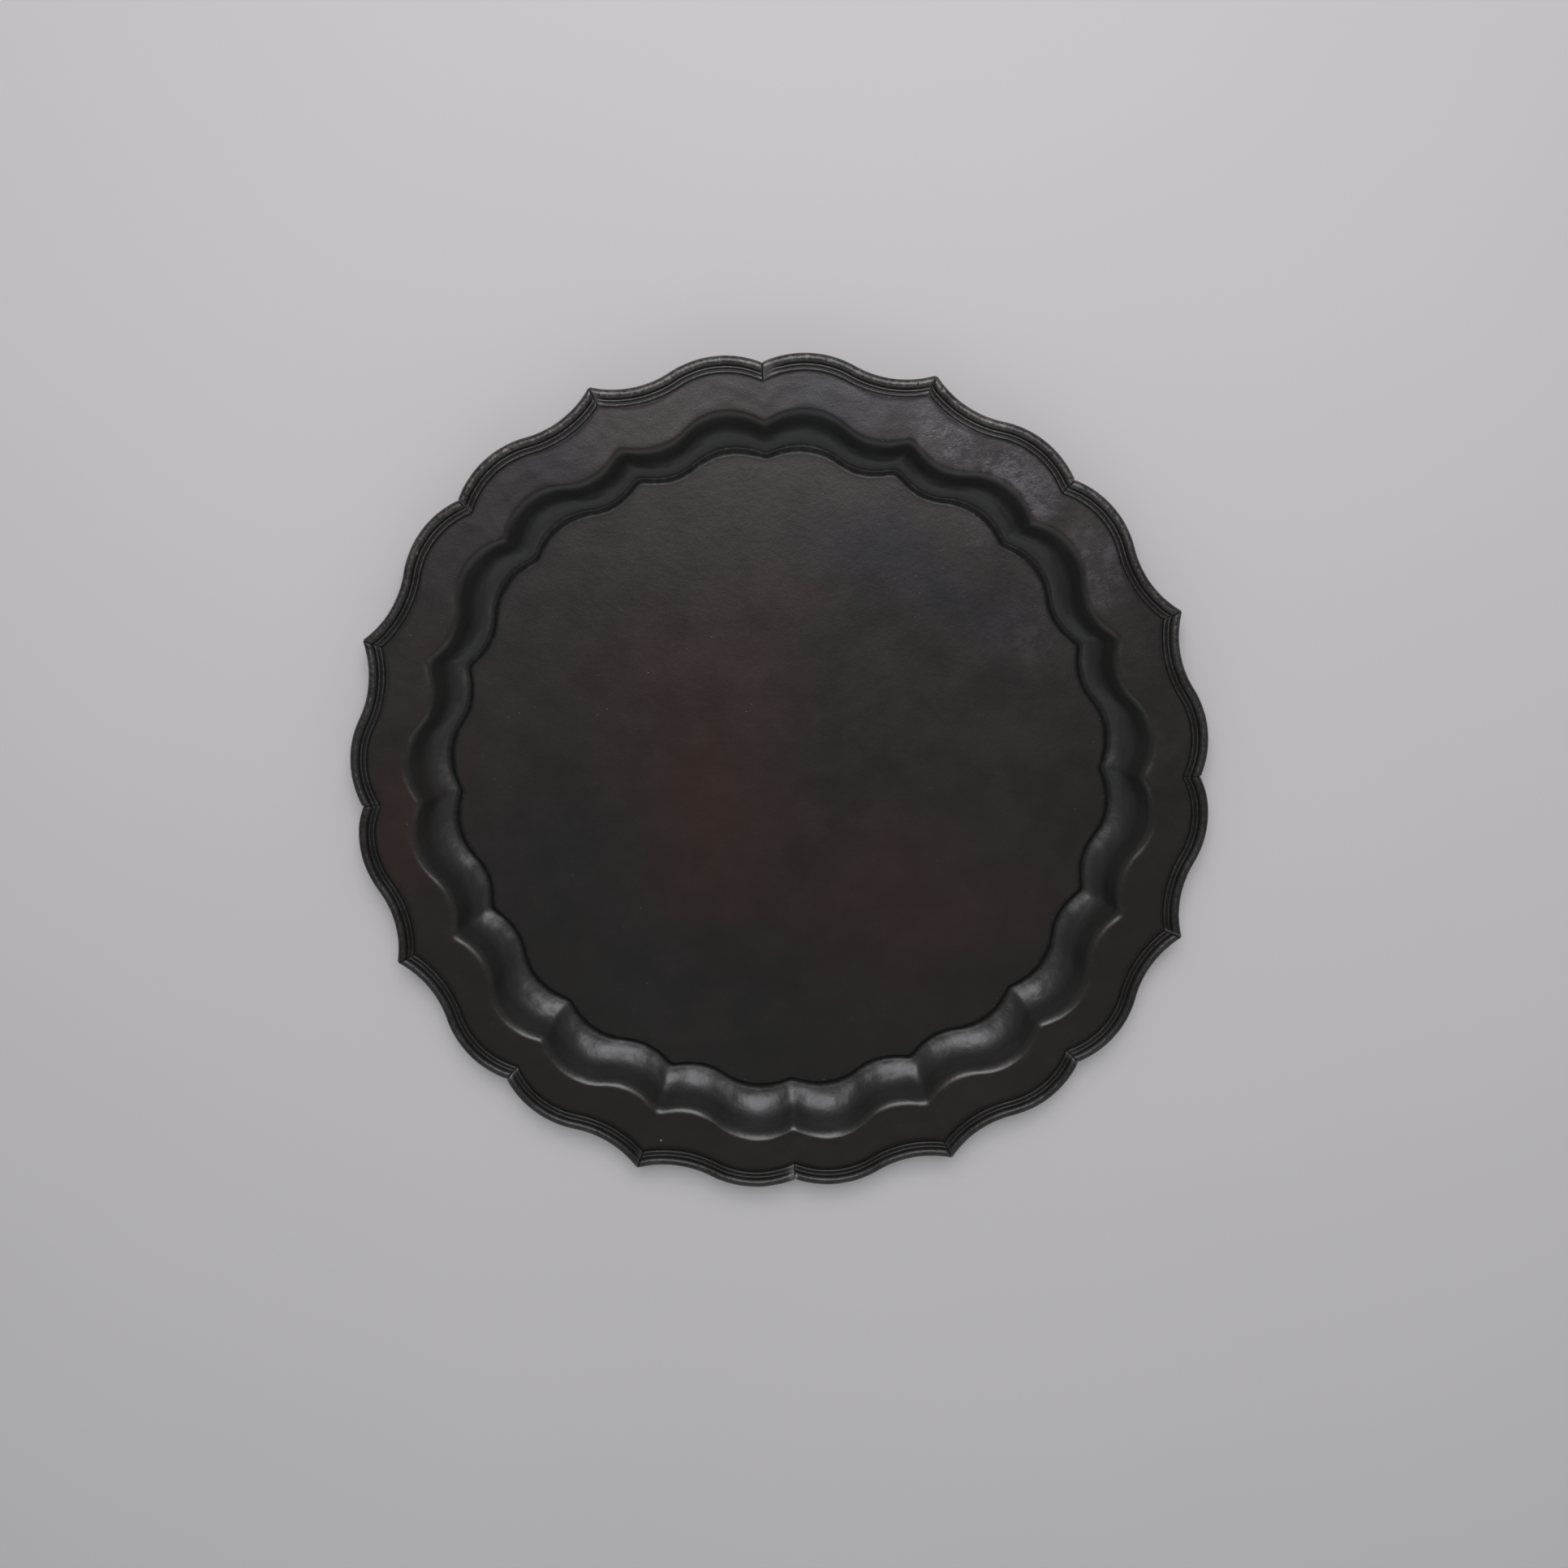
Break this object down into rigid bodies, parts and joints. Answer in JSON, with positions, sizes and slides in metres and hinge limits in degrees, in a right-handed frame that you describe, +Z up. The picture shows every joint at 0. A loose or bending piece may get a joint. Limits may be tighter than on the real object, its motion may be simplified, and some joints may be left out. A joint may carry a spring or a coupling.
{
  "type": "tray",
  "caption": "Shallow round serving tray of hammered copper with a flat floor, a fluted wall, a broad brim and a scalloped rim of reeded moulding.",
  "frame": {"origin": "under the middle of the tray, on the surface it rests on", "axes": "+Z up out of the well, +Y from the middle through an inward notch of the rim, +X to the right through another notch"},
  "size_m": [0.3642, 0.3642, 0.0192],
  "materials": {
    "sheet": "hammered copper with a dark brown patina, satin",
    "moulding": "cast copper alloy with a dark patina, worn bright on the reeds"
  },
  "bodies": {
    "root": {"tray_sheet": "sheet", "rim_moulding_01": "moulding", "rim_moulding_02": "moulding", "rim_moulding_03": "moulding", "rim_moulding_04": "moulding", "rim_moulding_05": "moulding", "rim_moulding_06": "moulding", "rim_moulding_07": "moulding", "rim_moulding_08": "moulding", "rim_moulding_09": "moulding", "rim_moulding_10": "moulding", "rim_moulding_11": "moulding", "rim_moulding_12": "moulding", "rim_moulding_13": "moulding", "rim_moulding_14": "moulding", "rim_moulding_15": "moulding", "rim_moulding_16": "moulding"}
  },
  "joints": []
}
